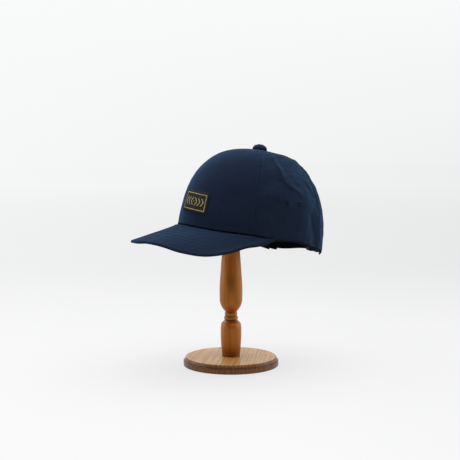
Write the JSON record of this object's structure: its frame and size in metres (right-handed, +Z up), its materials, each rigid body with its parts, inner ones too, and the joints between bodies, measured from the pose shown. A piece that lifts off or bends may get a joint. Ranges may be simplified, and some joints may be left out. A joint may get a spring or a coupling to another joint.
{
  "type": "baseball cap on a wooden stand",
  "caption": "Baseball cap with a bowed visor, woven front label and strapped back arch, resting on a turned wooden display stand.",
  "frame": {"origin": "centre of the flat underside of the stand's base", "axes": "+Z up along the stand's post, -Y the way the visor points, +X the wearer's left"},
  "size_m": [0.169, 0.2682, 0.276],
  "materials": {
    "cloth": "navy cotton twill",
    "lining": "near-black cotton tape",
    "thread": "navy buttonhole stitching",
    "label": "woven label, dark ground",
    "slider": "dark metal",
    "base_wood": "satin varnish",
    "post_wood": "satin varnish"
  },
  "bodies": {
    "root": {"crown_front_panel": "cloth", "crown_side_panel_left": "cloth", "crown_side_panel_right": "cloth", "crown_back_panel_left": "cloth", "crown_back_panel_right": "cloth", "visor": "cloth", "top_button": "cloth", "back_strap": "cloth", "sweatband": "lining", "front_label": "label", "eyelet_left_front": "thread", "eyelet_left_rear": "thread", "eyelet_right_front": "thread", "eyelet_right_rear": "thread", "strap_slider": "slider", "stand_base": "base_wood", "stand_post": "post_wood", "stand_head": "post_wood"}
  },
  "joints": []
}
